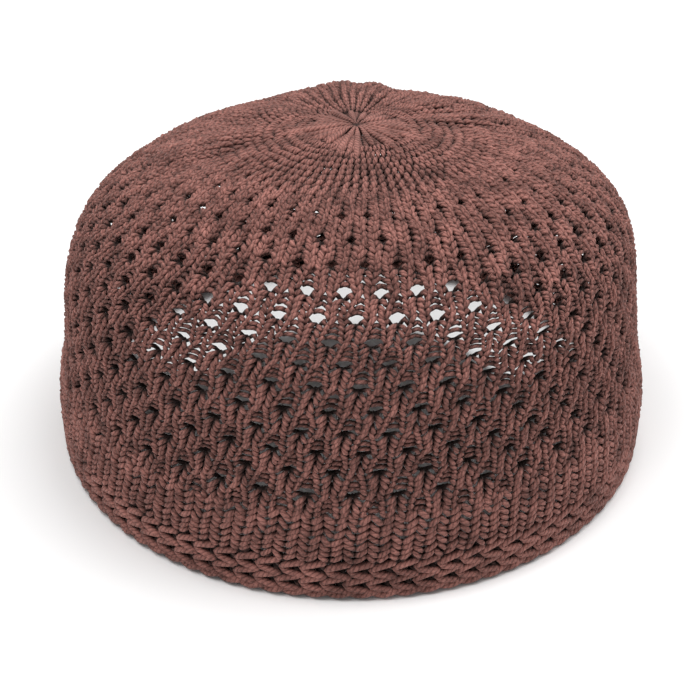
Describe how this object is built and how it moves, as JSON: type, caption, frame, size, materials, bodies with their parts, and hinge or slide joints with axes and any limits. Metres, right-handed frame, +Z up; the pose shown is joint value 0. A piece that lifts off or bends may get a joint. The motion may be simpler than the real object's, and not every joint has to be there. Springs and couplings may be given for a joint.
{
  "type": "knitted kufi cap",
  "caption": "Soft round brimless knitted cap with a gathered domed crown, an openwork wall of small eyelets and a close rib band at the rim.",
  "frame": {"origin": "centre of the rim's flat underside, which is the middle of the bounding box's bottom", "axes": "+Z up towards the gathered crown; -Y is the side that faces the viewer, where the crown stands highest; +X is the viewer's right"},
  "size_m": [0.1808, 0.1808, 0.1114],
  "materials": {
    "yarn": "matte"
  },
  "bodies": {
    "root": {"knit_cap": "yarn"}
  },
  "joints": []
}
